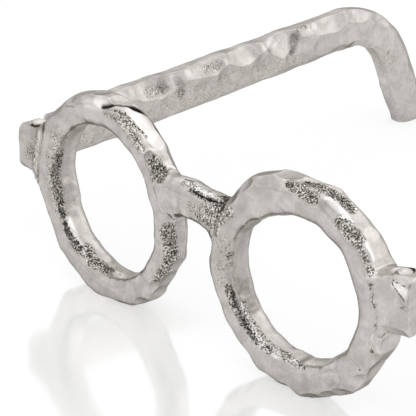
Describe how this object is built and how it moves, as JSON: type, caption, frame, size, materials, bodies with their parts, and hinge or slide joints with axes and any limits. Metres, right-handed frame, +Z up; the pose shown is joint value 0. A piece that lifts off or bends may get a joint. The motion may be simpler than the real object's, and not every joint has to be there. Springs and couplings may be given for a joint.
{
  "type": "eyeglasses sculpture",
  "caption": "Oversized round spectacles in beaten cast metal, standing on the rims and the tips of the down-turned temples, which swing inward on upright pins.",
  "frame": {"origin": "centre of the footprint, on the table", "axes": "+X to the wearer's left, +Y back along the temples, +Z up"},
  "size_m": [0.2862, 0.3391, 0.1143],
  "materials": {
    "cast_metal": "cast, beaten and polished over a dark pitted skin",
    "steel": "bright domed head in a dark ring"
  },
  "bodies": {
    "front": {"left_rim": "cast_metal", "right_rim": "cast_metal", "bridge": "cast_metal", "left_endpiece": "cast_metal", "right_endpiece": "cast_metal", "left_hinge_pin": "steel", "right_hinge_pin": "steel", "bridge_dowels": "steel", "endpiece_dowels": "steel"},
    "left_arm": {"left_temple": "cast_metal"},
    "right_arm": {"right_temple": "cast_metal"}
  },
  "joints": [
    {"name": "left_hinge", "type": "hinge", "parent": "front", "child": "left_arm", "pos_m": [-0.13349, -0.15671, 0.0685], "axis": [0, 0, -1], "range_deg": [0, 22]},
    {"name": "right_hinge", "type": "hinge", "parent": "front", "child": "right_arm", "pos_m": [0.13349, -0.15671, 0.0685], "axis": [0, 0, 1], "range_deg": [0, 22]}
  ]
}
